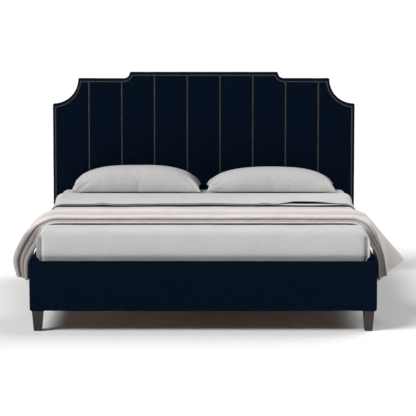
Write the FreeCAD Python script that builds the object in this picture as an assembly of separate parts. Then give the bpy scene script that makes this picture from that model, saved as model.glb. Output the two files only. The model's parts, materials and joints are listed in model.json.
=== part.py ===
"""Upholstered bed with a notched, channelled headboard, for a 1.8 x 2.0 m mattress, with its bedding.

Frame: millimetres, +Z up, +Y towards the headboard, +X to the right of someone who looks at the foot end.
The origin is on the floor, under the middle of the bed. Writes one STEP file for each node into parts/.
"""

import FreeCAD, Part
import math
import os
from FreeCAD import Vector

# ---- overall sizes
HALF_WIDTH = 960
FOOT_FACE = -1085
HEAD_FACE = 1000
HEAD_BACK = 1085
RAIL_BOTTOM = 114
RAIL_TOP = 389
FABRIC = 2

# ---- headboard outline: two tiers below the crest, joined by hollow quarter rounds
SHOULDER_Z = 1093
TIER_Z = 1255
CREST_Z = 1295
SHOULDER_ARC = TIER_Z - SHOULDER_Z
STEP_ARC = CREST_Z - TIER_Z
STEP_X = 510
PADDING_BOTTOM = 400
PADDING_DEPTH = 25
FACE_BOARD_DEPTH = 9
BACK_COVER = 3
TIMBER_BACK = HEAD_BACK - BACK_COVER
POST_WIDTH = 100
CROSS_RAIL_HEIGHT = 90

# ---- channels and nails
CHANNELS = 9
SEAM_PITCH = 208.3
NAIL_RADIUS = 5.2
NAIL_HEIGHT = 2.4
NAIL_PITCH = 11
NAIL_SHANK = 1.6
NAIL_LENGTH = 32
NAIL_INSET = 17
NAIL_BOTTOM = 415

# ---- rails
RAIL_THICKNESS = 54
RAIL_BOARD = 30
RAIL_FOAM = 20
FOAM_ON_TOP = 12
FOOT_ROUND = 12
SIDE_ROUND = 8
WELL_HALF = HALF_WIDTH - RAIL_THICKNESS
FOOT_INNER = FOOT_FACE + RAIL_THICKNESS

# ---- legs
LEG_X = 915
FRONT_LEG_Y = FOOT_FACE + 44
BACK_LEG_Y = 1050
LEG_TOP_SIZE = 62
LEG_BOTTOM_SIZE = 45
GLIDE_HEIGHT = 5
GLIDE_SIZE = 41
PLATE_THICKNESS = 2
PLATE_SIZE = 70
LEG_BOLT_BOTTOM = 60
LEG_BOLT_TOP = 160

# ---- bolts, and what their holes leave beyond their tips
BOLT_RADIUS = 4
BOLT_HOLE = 4.2
BOLT_HEAD_RADIUS = 7
BOLT_HEAD = 5
BOLT_BITE = 26
TIP_ROOM = 2

# ---- mattress support
SLAT_TOP = 305
SLAT_THICKNESS = 20
SLAT_WIDTH = 70
SLATS = 13
SLAT_PITCH = 155
SLAT_HALF_LENGTH = 898
LEDGER_WIDTH = 30
LEDGER_HEIGHT = 40
BEAM_WIDTH = 45
BEAM_HEIGHT = 70
STEEL = 3
CUP_LENGTH = 43
LEDGER_END_GAPS = (3, 15)
CENTRE_LEG_YS = (-350, 350)
WEBBING_XS = (-450, 450)
WEBBING_WIDTH = 24
WEBBING_THICKNESS = 2

# ---- levelling feet under the centre legs
FOOT_PAD_RADIUS = 22
FOOT_PAD_HEIGHT = 12
FOOT_PAD_ROUND = 3
SOCKET_FLOOR = 5.9
STUD_RADIUS = 5
STUD_TIP_RADIUS = 4
STUD_TIP_BOTTOM = 6
STUD_HEX_BOTTOM = 20
STUD_HEX_HEIGHT = 8
STUD_HEX_RADIUS = 9.8
STUD_GRIP = 32
RUNNING_GAP = 0.08
INSERT_RADIUS = 8
INSERT_LENGTH = 30
STUD_BORE = 55
CENTRE_LEG_BOTTOM = 40

# ---- fixing blocks and brackets at the corners
BLOCK = 60
BLOCK_BOTTOM = 130
BLOCK_TOP = 240
BRACKET = 4
BRACKET_ON_RAIL = 65
BRACKET_ON_HEADBOARD = 44
BRACKET_BOLT_Y = HEAD_FACE - 45
BRACKET_BOLT_X = WELL_HALF - 26
HEADBOARD_BOLT_TIP = TIMBER_BACK - 12
FIXING_ZS = (160, 210)
CROSS_FIXING_ZS = (142, 228)

# ---- bedding
REST_GAP = 0.3
MATTRESS_HALF = 899
MATTRESS_FOOT = FOOT_INNER + 7
MATTRESS_LENGTH = 2000
MATTRESS_BOTTOM = SLAT_TOP + REST_GAP
MATTRESS_TOP = 553
MATTRESS_ROUND = 30
TICKING = 12
SHEET = 2
SHEET_BOTTOM = SLAT_TOP + 35
POCKETS = (18, 20)
POCKET_PITCH = 96
POCKET_RADIUS = 44
POCKET_WALL = 1.5
TOP_SHEET_HEAD = 520
FOLD_FOOT = -130
FOLD_TOP = 572
FOLD_ROUND = 6
FOLD_HALF = 880
THROW_YS = (-865, -355)
THROW_THICKNESS = 16
THROW_REACH = 1080
THROW_HEM = 262
THROW_GAP = 8
PILLOW_X = 420
PILLOW_SIZE = (730, 440, 158)
PILLOW_ROUND = 70
PILLOW_Y = 740
PILLOW_SHELL = 6
FLANGE_SIDE = 34
FLANGE_FRONT = 20
FLANGE_BACK = 17
FLANGE_RISE = 42
FLANGE_THICKNESS = 4

parts = {}


# ---- small helpers
def box(x0, x1, y0, y1, z0, z1):
    low = Vector(min(x0, x1), min(y0, y1), min(z0, z1))
    return Part.makeBox(abs(x1 - x0), abs(y1 - y0), abs(z1 - z0), low)


def rod(radius, start, end):
    """A cylinder from one point to another."""
    axis = Vector(*end) - Vector(*start)
    return Part.makeCylinder(radius, axis.Length, Vector(*start), axis)


def mirrored(shape):
    """The same piece on the other side of the bed."""
    return shape.mirror(Vector(0, 0, 0), Vector(1, 0, 0))


def pair(name, right_shape):
    parts[name + "_right"] = right_shape
    parts[name + "_left"] = mirrored(right_shape)


def group(name, shapes):
    parts[name] = Part.makeCompound(shapes)


def round_edges(shape, radius, wanted):
    edges = [e for e in shape.Edges if wanted(e)]
    return shape.makeFillet(radius, edges)


def runs_along(edge, axis):
    ends = [v.Point for v in edge.Vertexes]
    across = [a for a in range(3) if a != axis]
    return all(abs(ends[0][a] - ends[-1][a]) < 1e-6 for a in across)


# ---- headboard
def half_outline(inset, bottom):
    """The right half of the headboard's outline in the plane y = 0, as edges from its foot to the crest's middle,
    with every side moved in by inset."""
    side, tier, crest = HALF_WIDTH - inset, TIER_Z - inset, CREST_Z - inset
    big, small = SHOULDER_ARC + inset, STEP_ARC + inset
    big_reach = math.sqrt(big**2 - inset**2)
    small_reach = math.sqrt(small**2 - inset**2)

    def arc(p, q, centre, radius):
        middle = (p + q) * 0.5 - centre
        middle.multiply(radius / middle.Length)
        return Part.Arc(p, centre + middle, q).toShape()

    foot = Vector(side, 0, bottom)
    shoulder = Vector(side, 0, TIER_Z - big_reach)
    tier_out = Vector(HALF_WIDTH - big_reach, 0, tier)
    tier_in = Vector(STEP_X, 0, tier)
    crest_out = Vector(STEP_X - small_reach, 0, crest)
    return [
        Part.makeLine(foot, shoulder),
        arc(shoulder, tier_out, Vector(HALF_WIDTH, 0, TIER_Z), big),
        Part.makeLine(tier_out, tier_in),
        arc(tier_in, crest_out, Vector(STEP_X, 0, CREST_Z), small),
        Part.makeLine(crest_out, Vector(0, 0, crest)),
    ]


def headboard_outline(inset, bottom):
    """The whole outline as a closed wire."""
    right = half_outline(inset, bottom)
    side = HALF_WIDTH - inset
    floor_line = Part.makeLine(Vector(-side, 0, bottom), Vector(side, 0, bottom))
    return Part.Wire(Part.__sortEdges__(right + [mirrored(e) for e in right] + [floor_line]))


def headboard_slab(inset, bottom, y0, y1):
    face = Part.Face(headboard_outline(inset, bottom))
    slab = face.extrude(Vector(0, y1 - y0, 0))
    slab.translate(Vector(0, y0, 0))
    return slab


def seam_xs():
    return [(i - (CHANNELS - 2) / 2) * SEAM_PITCH for i in range(CHANNELS - 1)]


def channels():
    padding = headboard_slab(FABRIC, PADDING_BOTTOM, HEAD_FACE, HEAD_FACE + PADDING_DEPTH)
    bounds = [-HALF_WIDTH] + seam_xs() + [HALF_WIDTH]
    for i in range(CHANNELS):
        cell = box(bounds[i], bounds[i + 1], HEAD_FACE - 1, HEAD_BACK, 0, CREST_Z + 1)
        parts[f"headboard_channel_{i + 1}"] = padding.common(cell)


def headboard_frame():
    board_front = HEAD_FACE + PADDING_DEPTH
    timber_front = board_front + FACE_BOARD_DEPTH
    inset = FABRIC
    side = HALF_WIDTH - inset

    lower = box(-side, side, HEAD_FACE, board_front, RAIL_BOTTOM, PADDING_BOTTOM)
    face_board = headboard_slab(inset, RAIL_BOTTOM, board_front, timber_front)
    timber = headboard_slab(inset, RAIL_BOTTOM, timber_front, TIMBER_BACK)
    post = timber.common(box(side - POST_WIDTH, side, 0, HEAD_BACK, 0, SHOULDER_Z - inset))
    inner = side - POST_WIDTH
    low_rail = timber.common(
        box(-inner, inner, 0, HEAD_BACK, RAIL_BOTTOM, RAIL_BOTTOM + CROSS_RAIL_HEIGHT)
    )
    top_rail = timber.common(
        box(-inner, inner, 0, HEAD_BACK, SHOULDER_Z - CROSS_RAIL_HEIGHT, CREST_Z)
    )
    for x, z in headboard_bolt_places():
        hole = rod(BOLT_HOLE, (x, HEAD_FACE, z), (x, HEADBOARD_BOLT_TIP + TIP_ROOM, z))
        lower = lower.cut(hole).cut(mirrored(hole))
        face_board = face_board.cut(hole).cut(mirrored(hole))
        post = post.cut(hole)
    post = post.cut(rod(BOLT_HOLE, (LEG_X, BACK_LEG_Y, 0), (LEG_X, BACK_LEG_Y, LEG_BOLT_TOP + TIP_ROOM)))
    pair("headboard_post", post)
    parts["headboard_bottom_rail"] = low_rail
    parts["headboard_top_rail"] = top_rail
    parts["headboard_face_board"] = face_board
    parts["headboard_lower_board"] = lower


def headboard_covers():
    outer = headboard_slab(0, RAIL_BOTTOM, HEAD_FACE + FABRIC, TIMBER_BACK)
    inner = headboard_slab(FABRIC, RAIL_BOTTOM - 1, HEAD_FACE, HEAD_BACK)
    parts["headboard_edge_band"] = outer.cut(inner)
    parts["headboard_back_cover"] = headboard_slab(0, RAIL_BOTTOM, TIMBER_BACK, HEAD_BACK)


def nail():
    """A domed nail at the origin: its head stands out towards -Y and its square shank runs to +Y."""
    bend = (NAIL_RADIUS**2 + NAIL_HEIGHT**2) / (2 * NAIL_HEIGHT)
    rim, top = Vector(NAIL_RADIUS, 0, 0), Vector(0, -NAIL_HEIGHT, 0)
    angle = math.atan2(NAIL_RADIUS, bend - NAIL_HEIGHT) / 2
    half_way = Vector(bend * math.sin(angle), bend - NAIL_HEIGHT - bend * math.cos(angle), 0)
    edges = [
        Part.Arc(rim, half_way, top).toShape(),
        Part.makeLine(top, Vector(0, 0, 0)),
        Part.makeLine(Vector(0, 0, 0), rim),
    ]
    dome = Part.Face(Part.Wire(edges)).revolve(Vector(0, 0, 0), Vector(0, 1, 0), 360)
    half = NAIL_SHANK / 2
    return dome.fuse(box(-half, half, 0, NAIL_LENGTH, -half, half))


def nails_along(edge):
    """Nail places at about the nail pitch along an edge from its start up to, but not on, its end."""
    count = max(1, round(edge.Length / NAIL_PITCH))
    return edge.discretize(Number=count + 1)[:-1]


def nail_trims():
    one = nail()

    def driven(places):
        return [one.translated(Vector(p.x, HEAD_FACE, p.z)) for p in places]

    right = [p for edge in half_outline(NAIL_INSET, NAIL_BOTTOM) for p in nails_along(edge)]
    left = [Vector(-p.x, 0, p.z) for p in right]
    crest_middle = Vector(0, 0, CREST_Z - NAIL_INSET)
    group("nail_trim_border", driven(right + left + [crest_middle]))

    outline = Part.Face(headboard_outline(NAIL_INSET, NAIL_BOTTOM))
    seams = []
    for x in seam_xs():
        line = Part.makeLine(Vector(x, 0, 0), Vector(x, 0, CREST_Z)).common(outline)
        top = line.BoundBox.ZMax - NAIL_PITCH
        count = int((top - NAIL_BOTTOM) / NAIL_PITCH)
        seams += [Vector(x, 0, top - i * NAIL_PITCH) for i in range(count + 1)]
    group("nail_trim_seams", driven(seams))


# ---- rails
def wrapped_rail(name, outer, foam, board, holes):
    """The three layers of an upholstered rail, each given as its outer shape, with the bolt holes in all."""
    layers = {"_cover": outer.cut(foam.fuse(board)), "_foam": foam.cut(board), "_board": board}
    drilled = {}
    for layer, shape in layers.items():
        for hole in holes:
            shape = shape.cut(hole)
        drilled[name + layer] = shape
    return drilled


def side_rails():
    y0, y1 = FOOT_INNER, HEAD_FACE
    skin = FABRIC

    def rounded(shape, radius):
        return round_edges(
            shape, radius, lambda e: runs_along(e, 1) and e.BoundBox.XMin > (WELL_HALF + HALF_WIDTH) / 2
        )

    outer = rounded(box(WELL_HALF, HALF_WIDTH, y0, y1, RAIL_BOTTOM, RAIL_TOP), SIDE_ROUND)
    foam = rounded(
        box(WELL_HALF + skin, HALF_WIDTH - skin, y0, y1, RAIL_BOTTOM + skin, RAIL_TOP - skin),
        SIDE_ROUND - skin,
    )
    board_right = WELL_HALF + skin + RAIL_BOARD
    board_top = RAIL_TOP - skin - FOAM_ON_TOP
    board = box(WELL_HALF + skin, board_right, y0, y1, RAIL_BOTTOM + skin, board_top)
    hole_tip = WELL_HALF + BOLT_BITE + TIP_ROOM
    holes = [rod(BOLT_HOLE, (WELL_HALF, y, z), (hole_tip, y, z)) for y, z in side_bolt_places()]
    for layer, shape in wrapped_rail("side_rail", outer, foam, board, holes).items():
        pair(layer, shape)


def foot_rail():
    skin = FABRIC
    middle = (FOOT_FACE + FOOT_INNER) / 2

    def rounded(shape, radius):
        """Rounds the front, end and top edges, but not those along the inner face."""
        return round_edges(shape, radius, lambda e: e.BoundBox.YMax < middle)

    outer = rounded(
        box(-HALF_WIDTH, HALF_WIDTH, FOOT_FACE, FOOT_INNER, RAIL_BOTTOM, RAIL_TOP), FOOT_ROUND
    )
    foam = rounded(
        box(
            -HALF_WIDTH + skin, HALF_WIDTH - skin, FOOT_FACE + skin, FOOT_INNER - skin,
            RAIL_BOTTOM + skin, RAIL_TOP - skin,
        ),
        FOOT_ROUND - skin,
    )
    board_x = HALF_WIDTH - skin - FOAM_ON_TOP
    board = box(
        -board_x, board_x, FOOT_FACE + skin + RAIL_FOAM, FOOT_INNER - skin,
        RAIL_BOTTOM + skin, RAIL_TOP - skin - FOAM_ON_TOP,
    )
    leg_hole = rod(BOLT_HOLE, (LEG_X, FRONT_LEG_Y, 0), (LEG_X, FRONT_LEG_Y, LEG_BOLT_TOP + TIP_ROOM))
    holes = [leg_hole, mirrored(leg_hole)]
    for x, z in foot_bolt_places():
        hole = rod(BOLT_HOLE, (x, FOOT_INNER, z), (x, FOOT_INNER - BOLT_BITE - TIP_ROOM, z))
        holes += [hole, mirrored(hole)]
    parts.update(wrapped_rail("foot_rail", outer, foam, board, holes))


# ---- corner fixings
def foot_bolt_places():
    """(x, z) of the bolts that run through a corner block into the foot rail."""
    return [(WELL_HALF - BLOCK / 2, z) for z in FIXING_ZS]


def side_bolt_places():
    """(y, z) of the bolts that run into a side rail, from its corner block and from its headboard bracket."""
    at_foot = [(FOOT_INNER + BLOCK / 2, z) for z in CROSS_FIXING_ZS]
    at_head = [(BRACKET_BOLT_Y, z) for z in FIXING_ZS]
    return at_foot + at_head


def headboard_bolt_places():
    """(x, z) of the bolts that run through a bracket into a headboard post."""
    return [(BRACKET_BOLT_X, z) for z in FIXING_ZS]


def bolt(start, end):
    """A bolt whose head stands on the start point, with its shank from there to the end point."""
    outward = Vector(*start) - Vector(*end)
    outward.multiply(BOLT_HEAD / outward.Length)
    tip = Vector(*start) + outward
    return rod(BOLT_RADIUS, start, end).fuse(rod(BOLT_HEAD_RADIUS, start, tuple(tip)))


def both_sides(shapes):
    return shapes + [mirrored(s) for s in shapes]


def corners():
    block = box(WELL_HALF - BLOCK, WELL_HALF, FOOT_INNER, FOOT_INNER + BLOCK, BLOCK_BOTTOM, BLOCK_TOP)
    bolts = []
    inner_y, inner_x = FOOT_INNER + BLOCK, WELL_HALF - BLOCK
    for x, z in foot_bolt_places():
        block = block.cut(rod(BOLT_HOLE, (x, inner_y, z), (x, FOOT_INNER, z)))
        bolts.append(bolt((x, inner_y, z), (x, FOOT_INNER - BOLT_BITE, z)))
    for y, z in side_bolt_places()[:2]:
        block = block.cut(rod(BOLT_HOLE, (inner_x, y, z), (WELL_HALF, y, z)))
        bolts.append(bolt((inner_x, y, z), (WELL_HALF + BOLT_BITE, y, z)))
    pair("corner_block", block)
    group("corner_bolts", both_sides(bolts))

    along_rail = box(
        WELL_HALF - BRACKET, WELL_HALF, HEAD_FACE - BRACKET_ON_RAIL, HEAD_FACE, BLOCK_BOTTOM, BLOCK_TOP
    )
    along_head = box(
        WELL_HALF - BRACKET_ON_HEADBOARD, WELL_HALF, HEAD_FACE - BRACKET, HEAD_FACE, BLOCK_BOTTOM, BLOCK_TOP
    )
    bracket = along_rail.fuse(along_head).removeSplitter()
    bolts = []
    for y, z in side_bolt_places()[2:]:
        bracket = bracket.cut(rod(BOLT_HOLE, (WELL_HALF - BRACKET, y, z), (WELL_HALF, y, z)))
        bolts.append(bolt((WELL_HALF - BRACKET, y, z), (WELL_HALF + BOLT_BITE, y, z)))
    for x, z in headboard_bolt_places():
        bracket = bracket.cut(rod(BOLT_HOLE, (x, HEAD_FACE - BRACKET, z), (x, HEAD_FACE, z)))
        bolts.append(bolt((x, HEAD_FACE - BRACKET, z), (x, HEADBOARD_BOLT_TIP, z)))
    group("headboard_brackets", both_sides([bracket]))
    group("headboard_bolts", both_sides(bolts))


# ---- legs
def square(size, z):
    h = size / 2
    ring = ((-1, -1), (1, -1), (1, 1), (-1, 1), (-1, -1))
    return Part.makePolygon([Vector(a * h, b * h, z) for a, b in ring])


def legs():
    top = RAIL_BOTTOM - PLATE_THICKNESS
    leg = Part.makeLoft([square(LEG_BOTTOM_SIZE, GLIDE_HEIGHT), square(LEG_TOP_SIZE, top)], True, True)
    leg = leg.cut(rod(BOLT_HOLE, (0, 0, LEG_BOLT_BOTTOM - TIP_ROOM), (0, 0, top)))
    glide = box(-GLIDE_SIZE / 2, GLIDE_SIZE / 2, -GLIDE_SIZE / 2, GLIDE_SIZE / 2, 0, GLIDE_HEIGHT)
    plate = box(-PLATE_SIZE / 2, PLATE_SIZE / 2, -PLATE_SIZE / 2, PLATE_SIZE / 2, top, RAIL_BOTTOM)
    plate = plate.cut(rod(BOLT_HOLE, (0, 0, top), (0, 0, RAIL_BOTTOM)))
    hanger = rod(BOLT_RADIUS, (0, 0, LEG_BOLT_BOTTOM), (0, 0, LEG_BOLT_TOP))
    places = [
        Vector(side * LEG_X, y, 0) for y in (FRONT_LEG_Y, BACK_LEG_Y) for side in (-1, 1)
    ]
    names = ("leg_front_left", "leg_front_right", "leg_back_left", "leg_back_right")
    for name, place in zip(names, places):
        parts[name] = leg.translated(place)
    group("leg_glides", [glide.translated(p) for p in places])
    group("leg_plates", [plate.translated(p) for p in places])
    group("leg_bolts", [hanger.translated(p) for p in places])


# ---- mattress support
def slatted_base():
    slat_bottom = SLAT_TOP - SLAT_THICKNESS
    slats = []
    for i in range(SLATS):
        y = (i - (SLATS - 1) / 2) * SLAT_PITCH
        y0, y1 = y - SLAT_WIDTH / 2, y + SLAT_WIDTH / 2
        slats.append(box(-SLAT_HALF_LENGTH, SLAT_HALF_LENGTH, y0, y1, slat_bottom, SLAT_TOP))
    group("slats", slats)
    reach = (SLATS - 1) / 2 * SLAT_PITCH + SLAT_WIDTH / 2
    group("slat_webbing", [
        box(
            x - WEBBING_WIDTH / 2, x + WEBBING_WIDTH / 2, -reach, reach,
            slat_bottom - WEBBING_THICKNESS, slat_bottom,
        )
        for x in WEBBING_XS
    ])
    foot_gap, head_gap = LEDGER_END_GAPS
    ledger = box(
        WELL_HALF - LEDGER_WIDTH, WELL_HALF, FOOT_INNER + foot_gap, HEAD_FACE - head_gap,
        slat_bottom - LEDGER_HEIGHT, slat_bottom,
    )
    pair("slat_ledger", ledger)

    half = BEAM_WIDTH / 2
    beam_bottom = slat_bottom - BEAM_HEIGHT
    parts["centre_beam"] = box(-half, half, FOOT_INNER + STEEL, HEAD_FACE - STEEL, beam_bottom, slat_bottom)
    cups = []
    for wall, inward in ((FOOT_INNER, 1), (HEAD_FACE, -1)):
        end = wall + inward * CUP_LENGTH
        cup = box(-half - STEEL, half + STEEL, wall, end, beam_bottom - STEEL, slat_bottom)
        hollow = box(-half, half, wall + inward * STEEL, end, beam_bottom, slat_bottom)
        cups.append(cup.cut(hollow))
    group("beam_brackets", cups)


def levelling_foot(y):
    """The pad and the threaded stud, with its hexagon, of the foot under the centre leg at y."""
    pad = rod(FOOT_PAD_RADIUS, (0, y, 0), (0, y, FOOT_PAD_HEIGHT))
    pad = round_edges(pad, FOOT_PAD_ROUND, lambda e: e.BoundBox.ZMin > FOOT_PAD_HEIGHT - 1)
    pad = pad.cut(rod(STUD_TIP_RADIUS + RUNNING_GAP, (0, y, SOCKET_FLOOR), (0, y, FOOT_PAD_HEIGHT)))

    tip = rod(STUD_TIP_RADIUS, (0, y, STUD_TIP_BOTTOM), (0, y, STUD_HEX_BOTTOM))
    thread = rod(STUD_RADIUS, (0, y, STUD_HEX_BOTTOM), (0, y, CENTRE_LEG_BOTTOM + STUD_GRIP))
    turns = [math.radians(60 * i) for i in range(7)]
    hexagon = Part.Face(Part.makePolygon([
        Vector(STUD_HEX_RADIUS * math.cos(a), y + STUD_HEX_RADIUS * math.sin(a), STUD_HEX_BOTTOM)
        for a in turns
    ]))
    stud = tip.fuse(thread).fuse(hexagon.extrude(Vector(0, 0, STUD_HEX_HEIGHT)))
    return pad, stud.removeSplitter()


def centre_legs():
    top = SLAT_TOP - SLAT_THICKNESS - BEAM_HEIGHT
    bottom = CENTRE_LEG_BOTTOM
    half = BEAM_WIDTH / 2
    posts = []
    inserts = []
    for number, y in enumerate(CENTRE_LEG_YS, 1):
        bore = rod(INSERT_RADIUS, (0, y, bottom), (0, y, bottom + STUD_BORE))
        posts.append(box(-half, half, y - half, y + half, bottom, top).cut(bore))
        sleeve_top = (0, y, bottom + INSERT_LENGTH)
        thread_hole = rod(STUD_RADIUS + RUNNING_GAP, (0, y, bottom), sleeve_top)
        inserts.append(rod(INSERT_RADIUS, (0, y, bottom), sleeve_top).cut(thread_hole))
        pad, stud = levelling_foot(y)
        parts[f"levelling_foot_pad_{number}"] = pad
        parts[f"levelling_foot_stud_{number}"] = stud
    group("centre_legs", posts)
    group("centre_leg_inserts", inserts)


# ---- bedding
def soft_box(grow, bottom, top, radius, keep_bottom_sharp):
    """The mattress's shape, grown on its sides by grow, with rounded edges."""
    shape = box(
        -MATTRESS_HALF - grow, MATTRESS_HALF + grow,
        MATTRESS_FOOT - grow, MATTRESS_FOOT + MATTRESS_LENGTH + grow, bottom, top,
    )
    if keep_bottom_sharp:
        return round_edges(shape, radius, lambda e: e.BoundBox.ZMax > bottom + 1)
    return shape.makeFillet(radius, shape.Edges)


def mattress():
    outer = soft_box(0, MATTRESS_BOTTOM, MATTRESS_TOP, MATTRESS_ROUND, False)
    inner_bottom, inner_top = MATTRESS_BOTTOM + TICKING, MATTRESS_TOP - TICKING
    hollow = soft_box(-TICKING, inner_bottom, inner_top, MATTRESS_ROUND - TICKING, False)
    parts["mattress_cover"] = outer.cut(hollow)

    across, along = POCKETS
    bottom, top = inner_bottom + 1, inner_top - 1
    pocket = rod(POCKET_RADIUS, (0, 0, bottom), (0, 0, top)).cut(
        rod(POCKET_RADIUS - POCKET_WALL, (0, 0, bottom + POCKET_WALL), (0, 0, top - POCKET_WALL))
    )
    middle_y = MATTRESS_FOOT + MATTRESS_LENGTH / 2
    group("mattress_pocket_springs", [
        pocket.translated(Vector(
            (i - (across - 1) / 2) * POCKET_PITCH, middle_y + (j - (along - 1) / 2) * POCKET_PITCH, 0
        ))
        for i in range(across) for j in range(along)
    ])


def sheets():
    body = soft_box(0, MATTRESS_BOTTOM, MATTRESS_TOP, MATTRESS_ROUND, False)
    fitted = soft_box(SHEET, SHEET_BOTTOM, MATTRESS_TOP + SHEET, MATTRESS_ROUND + SHEET, True)
    parts["fitted_sheet"] = fitted.cut(body)

    over = soft_box(2 * SHEET, SHEET_BOTTOM, MATTRESS_TOP + 2 * SHEET, MATTRESS_ROUND + 2 * SHEET, True)
    over = over.cut(fitted).cut(body)
    over = over.common(box(-2000, 2000, FOOT_FACE, TOP_SHEET_HEAD, 0, 1000))
    fold = box(-FOLD_HALF, FOLD_HALF, FOLD_FOOT, TOP_SHEET_HEAD, MATTRESS_TOP + 1.5 * SHEET, FOLD_TOP)
    fold = round_edges(fold, FOLD_ROUND, lambda e: e.BoundBox.ZMin > FOLD_TOP - 1)
    fold = fold.cut(fitted)
    parts["top_sheet"] = over.fuse(fold).removeSplitter()


def throw():
    """A folded blanket across the foot of the bed: flat on top, and hanging clear of the rail at each side."""
    under = MATTRESS_TOP + 2 * SHEET + REST_GAP
    over = under + THROW_THICKNESS
    hang = HALF_WIDTH + THROW_GAP
    side = MATTRESS_HALF + 2 * SHEET
    right_outer = [(0, over), (side - 28, over), (side + 22, over - 28), (side + 57, over - 84)]
    right_outer += [(THROW_REACH - 20, 400), (THROW_REACH, 315), (THROW_REACH - 15, THROW_HEM)]
    right_inner = [(hang + 5, THROW_HEM), (hang, RAIL_TOP + 20), (side + 27, under - 82)]
    right_inner += [(side + 10, under - 42), (side - 3, under - 6), (side - 27, under), (0, under)]
    edges = []

    def line(sign, p, q):
        edges.append(Part.makeLine(Vector(sign * p[0], 0, p[1]), Vector(sign * q[0], 0, q[1])))

    for sign in (1, -1):
        profile = right_outer + right_inner
        for p, q in zip(profile, profile[1:]):
            line(sign, p, q)
    face = Part.Face(Part.Wire(Part.__sortEdges__(edges)))
    shape = face.extrude(Vector(0, THROW_YS[1] - THROW_YS[0], 0))
    shape.translate(Vector(0, THROW_YS[0], 0))
    parts["throw_blanket"] = shape


def pillows():
    width, depth, height = PILLOW_SIZE
    bottom = MATTRESS_TOP + SHEET + REST_GAP
    x, y = PILLOW_X, PILLOW_Y

    def body(shrink):
        shape = box(
            x - width / 2 + shrink, x + width / 2 - shrink,
            y - depth / 2 + shrink, y + depth / 2 - shrink, bottom + shrink, bottom + height - shrink,
        )
        return shape.makeFillet(PILLOW_ROUND - shrink, shape.Edges)

    flange = box(
        x - width / 2 - FLANGE_SIDE, x + width / 2 + FLANGE_SIDE,
        y - depth / 2 - FLANGE_FRONT, y + depth / 2 + FLANGE_BACK,
        bottom + FLANGE_RISE, bottom + FLANGE_RISE + FLANGE_THICKNESS,
    )
    pillow = body(0).fuse(flange).removeSplitter().cut(body(PILLOW_SHELL))
    pair("pillow", pillow)


channels()
headboard_frame()
headboard_covers()
nail_trims()
side_rails()
foot_rail()
corners()
legs()
slatted_base()
centre_legs()
mattress()
sheets()
throw()
pillows()

os.makedirs("parts", exist_ok=True)
for name, shape in parts.items():
    for solid in shape.Solids:
        if not solid.isValid():
            print("not valid:", name)
    shape.exportStep(os.path.join("parts", name + ".step"))
print(len(parts), "nodes,", sum(len(s.Solids) for s in parts.values()), "solids")
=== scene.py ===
"""Upholstered bed with a notched, channelled headboard, dressed with sheets, pillows and a folded throw.

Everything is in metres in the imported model's frame: +Z up, +Y towards the headboard, the origin on the floor
under the middle of the bed. Soft pieces are modelled here and ride on the CAD bodies; wood, metal and plastic
pieces stay CAD and get their finish here.
"""

import json
import math

import bpy
import numpy as np
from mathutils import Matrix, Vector


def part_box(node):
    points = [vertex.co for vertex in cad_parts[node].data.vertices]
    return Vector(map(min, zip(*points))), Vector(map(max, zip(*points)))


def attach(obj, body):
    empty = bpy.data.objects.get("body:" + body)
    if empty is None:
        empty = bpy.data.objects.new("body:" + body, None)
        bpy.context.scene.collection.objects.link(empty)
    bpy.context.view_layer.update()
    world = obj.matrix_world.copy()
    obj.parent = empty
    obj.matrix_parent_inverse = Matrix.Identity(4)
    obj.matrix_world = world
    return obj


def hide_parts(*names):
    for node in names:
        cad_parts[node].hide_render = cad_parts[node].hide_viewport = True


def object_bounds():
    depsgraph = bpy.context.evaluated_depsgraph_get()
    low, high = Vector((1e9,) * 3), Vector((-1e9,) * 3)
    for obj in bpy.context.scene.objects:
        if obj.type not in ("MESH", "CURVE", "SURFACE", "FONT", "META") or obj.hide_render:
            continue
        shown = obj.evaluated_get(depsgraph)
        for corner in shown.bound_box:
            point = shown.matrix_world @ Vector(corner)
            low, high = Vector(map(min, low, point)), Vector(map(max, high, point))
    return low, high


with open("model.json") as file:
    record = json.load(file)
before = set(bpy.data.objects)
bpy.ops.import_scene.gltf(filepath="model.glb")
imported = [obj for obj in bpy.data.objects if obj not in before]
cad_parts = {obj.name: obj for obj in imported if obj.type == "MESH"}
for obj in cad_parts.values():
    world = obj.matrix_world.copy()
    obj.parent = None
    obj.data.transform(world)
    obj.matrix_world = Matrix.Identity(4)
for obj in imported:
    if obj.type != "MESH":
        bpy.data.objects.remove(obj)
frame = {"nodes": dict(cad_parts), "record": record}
cad_low, cad_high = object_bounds()

# ---- headboard
BAND_LOW, BAND_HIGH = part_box("headboard_edge_band")
HALF_WIDTH = BAND_HIGH.x
CREST_Z = BAND_HIGH.z
SHOULDER_ARC = 0.162
STEP_ARC = 0.040
TIER_Z = CREST_Z - STEP_ARC
STEP_X = 0.510
HEAD_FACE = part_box("headboard_channel_5")[0].y
HEAD_BACK = cad_high.y
PADDING_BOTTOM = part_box("headboard_channel_5")[0].z
CHANNELS = 9
SEAM_PITCH = 0.2083
NAIL_INSET = 0.017
CROWN = 0.0045
EDGE_ROLL = 0.009
CORNER_SOFTNESS = 0.006
LOWER_CLOTH_TOP = 0.402
LINING_INSET = 0.013
STAPLE_PITCH = 0.055

# ---- mattress and bedding
RAIL_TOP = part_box("foot_rail_cover")[1].z
FOOT_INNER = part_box("foot_rail_cover")[1].y
MATTRESS_LOW, MATTRESS_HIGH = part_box("mattress_cover")
PIPING_INSET = 0.0125
DRESSED_TOP = 0.557
SHEET_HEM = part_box("fitted_sheet")[0].z
FOLD_FOOT = 0.026
FOLD_HEAD = 0.585
ROLL_HEIGHT = 0.0085


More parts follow.
